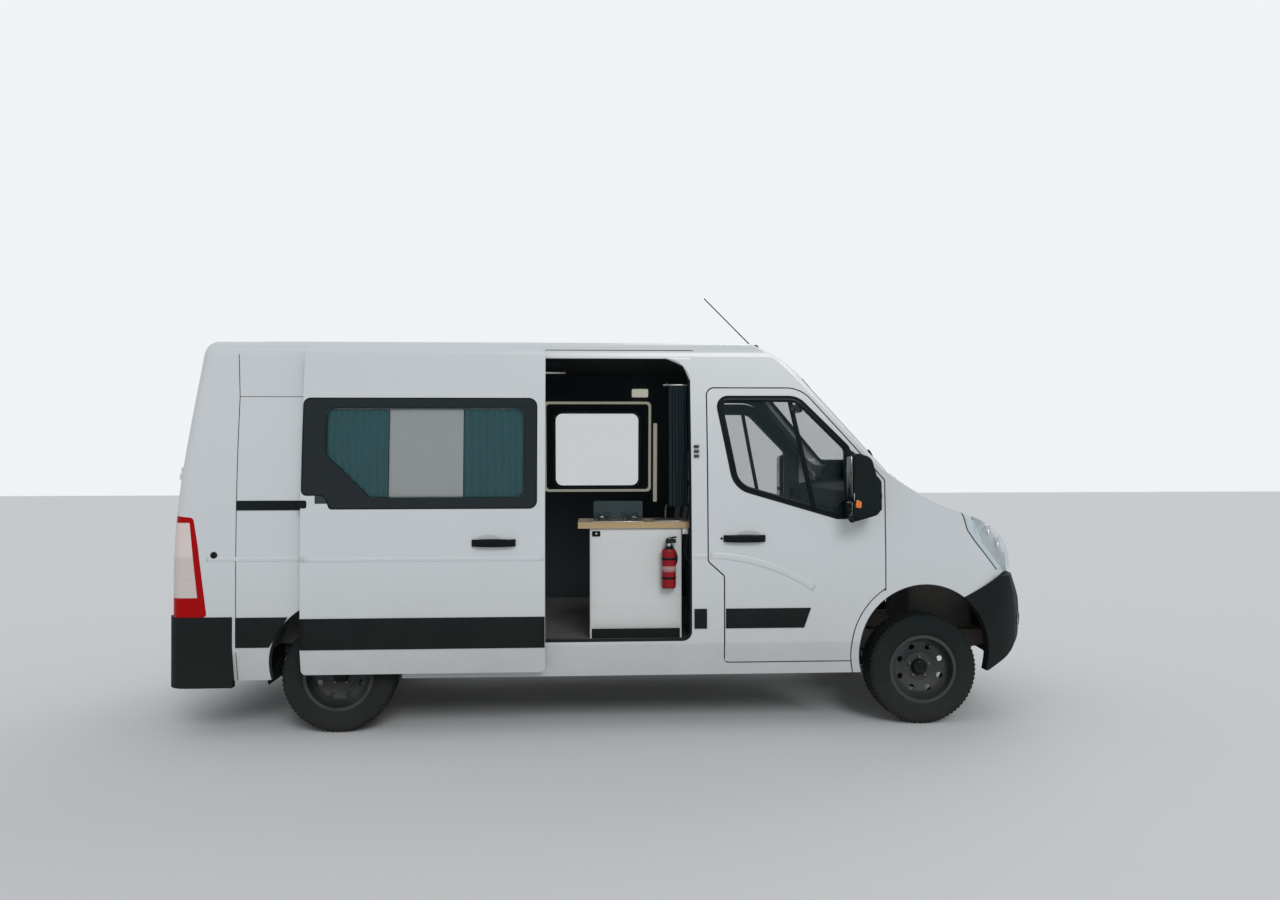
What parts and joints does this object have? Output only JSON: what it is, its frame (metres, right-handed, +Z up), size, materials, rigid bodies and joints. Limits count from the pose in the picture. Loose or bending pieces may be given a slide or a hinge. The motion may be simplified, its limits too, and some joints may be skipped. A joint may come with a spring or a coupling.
{
  "type": "camper van",
  "caption": "Panel van fitted out as a camper, with an open sliding side door, glazed rear doors, a kitchen unit in the doorway and steered front wheels",
  "frame": {"origin": "on the ground under the middle of the van's length and width", "axes": "+X forward, +Y to the van's left, +Z up"},
  "size_m": [5.548, 2.47, 2.8677],
  "materials": {
    "body_paint": "white gloss paint",
    "black_plastic": "grained black plastic",
    "glass": "clear tinted glass",
    "black_glass": "dark tinted glass",
    "lamp_clear": "clear lamp cover",
    "lamp_red": "red lamp cover",
    "tyre": "worn tyre rubber",
    "wheel_steel": "dark painted steel",
    "chassis_steel": "black underbody paint with dust",
    "engine_iron": "cast engine block",
    "tank_plastic": "black moulded tank",
    "floor_paint": "painted floor",
    "seat_fabric": "dark woven seat cloth",
    "cabinet_board": "white laminated board",
    "worktop_board": "pale wood laminate",
    "extinguisher_red": "red enamel",
    "curtain_fabric": "teal grey curtain cloth",
    "blind_fabric": "white blind cloth"
  },
  "bodies": {
    "van": {"aerial": "black_plastic", "bed_locker": "cabinet_board", "blind": "blind_fabric", "chassis_frame": "chassis_steel", "cowl": "black_plastic", "curtain_front": "curtain_fabric", "curtain_rear": "curtain_fabric", "dashboard": "black_plastic", "door_rail": "black_plastic", "driver_seat": "seat_fabric", "engine_block": "engine_iron", "exhaust": "chassis_steel", "fire_extinguisher": "extinguisher_red", "floor_pan": "floor_paint", "front_bumper": "black_plastic", "front_subframe": "chassis_steel", "fuel_tank": "tank_plastic", "grille": "black_plastic", "headlamp_left": "lamp_clear", "headlamp_right": "lamp_clear", "kitchen_cabinet": "cabinet_board", "mattress": "seat_fabric", "passenger_seat": "seat_fabric", "rear_axle": "chassis_steel", "rear_bumper": "black_plastic", "roof_panel": "body_paint", "side_glass_left": "glass", "side_panel_left": "body_paint", "side_panel_right": "body_paint", "sliding_door": "body_paint", "sliding_door_glass": "black_glass", "steering_wheel": "black_plastic", "tail_lamp_left": "lamp_red", "tail_lamp_right": "lamp_red", "windscreen": "glass", "wing_left": "body_paint", "wing_right": "body_paint", "worktop": "worktop_board"},
    "front_door_left_body": {"front_door_left": "body_paint", "front_glass_left": "glass", "mirror_left": "black_plastic"},
    "rear_door_left_body": {"rear_door_left": "body_paint", "rear_glass_left": "glass"},
    "knuckle_left_body": {"knuckle_left": "chassis_steel"},
    "wheel_front_left": {"tyre_front_left": "tyre", "rim_front_left": "wheel_steel"},
    "wheel_rear_left": {"tyre_rear_left": "tyre", "rim_rear_left": "wheel_steel"},
    "front_door_right_body": {"front_door_right": "body_paint", "front_glass_right": "glass", "mirror_right": "black_plastic"},
    "rear_door_right_body": {"rear_door_right": "body_paint", "rear_glass_right": "glass"},
    "knuckle_right_body": {"knuckle_right": "chassis_steel"},
    "wheel_front_right": {"tyre_front_right": "tyre", "rim_front_right": "wheel_steel"},
    "wheel_rear_right": {"tyre_rear_right": "tyre", "rim_rear_right": "wheel_steel"},
    "bonnet_body": {"bonnet": "body_paint"}
  },
  "joints": [
    {"name": "front_door_left_hinge", "type": "hinge", "parent": "van", "child": "front_door_left_body", "pos_m": [1.632, 1.033, 1.2], "axis": [0, 0, -1], "range_deg": [0, 64]},
    {"name": "rear_door_left_hinge", "type": "hinge", "parent": "van", "child": "rear_door_left_body", "pos_m": [-2.7493, 0.868, 1.1015], "axis": [-0.0349, 0, -0.9994], "range_deg": [0, 180]},
    {"name": "steering_left", "type": "hinge", "parent": "van", "child": "knuckle_left_body", "pos_m": [1.932, 0.815, 0.3495], "axis": [0, 0, 1], "range_deg": [-35, 35]},
    {"name": "wheel_spin_front_left", "type": "hinge", "parent": "knuckle_left_body", "child": "wheel_front_left", "pos_m": [1.932, 0.875, 0.3495], "axis": [0, 1, 0], "continuous": true},
    {"name": "wheel_spin_rear_left", "type": "hinge", "parent": "van", "child": "wheel_rear_left", "pos_m": [-1.75, 0.865, 0.3495], "axis": [0, 1, 0], "continuous": true},
    {"name": "front_door_right_hinge", "type": "hinge", "parent": "van", "child": "front_door_right_body", "pos_m": [1.632, -1.033, 1.2], "axis": [0, 0, 1], "range_deg": [0, 64]},
    {"name": "rear_door_right_hinge", "type": "hinge", "parent": "van", "child": "rear_door_right_body", "pos_m": [-2.7493, -0.868, 1.1015], "axis": [0.0349, 0, 0.9994], "range_deg": [0, 180]},
    {"name": "steering_right", "type": "hinge", "parent": "van", "child": "knuckle_right_body", "pos_m": [1.932, -0.815, 0.3495], "axis": [0, 0, 1], "range_deg": [-35, 35]},
    {"name": "wheel_spin_front_right", "type": "hinge", "parent": "knuckle_right_body", "child": "wheel_front_right", "pos_m": [1.932, -0.875, 0.3495], "axis": [0, 1, 0], "continuous": true},
    {"name": "wheel_spin_rear_right", "type": "hinge", "parent": "van", "child": "wheel_rear_right", "pos_m": [-1.75, -0.865, 0.3495], "axis": [0, 1, 0], "continuous": true},
    {"name": "bonnet_hinge", "type": "hinge", "parent": "van", "child": "bonnet_body", "pos_m": [1.83, 0, 1.57], "axis": [0, -1, 0], "range_deg": [0, 50]}
  ],
  "couplings": [
    {"joint": "steering_right", "follows": "steering_left", "ratio": 1}
  ]
}
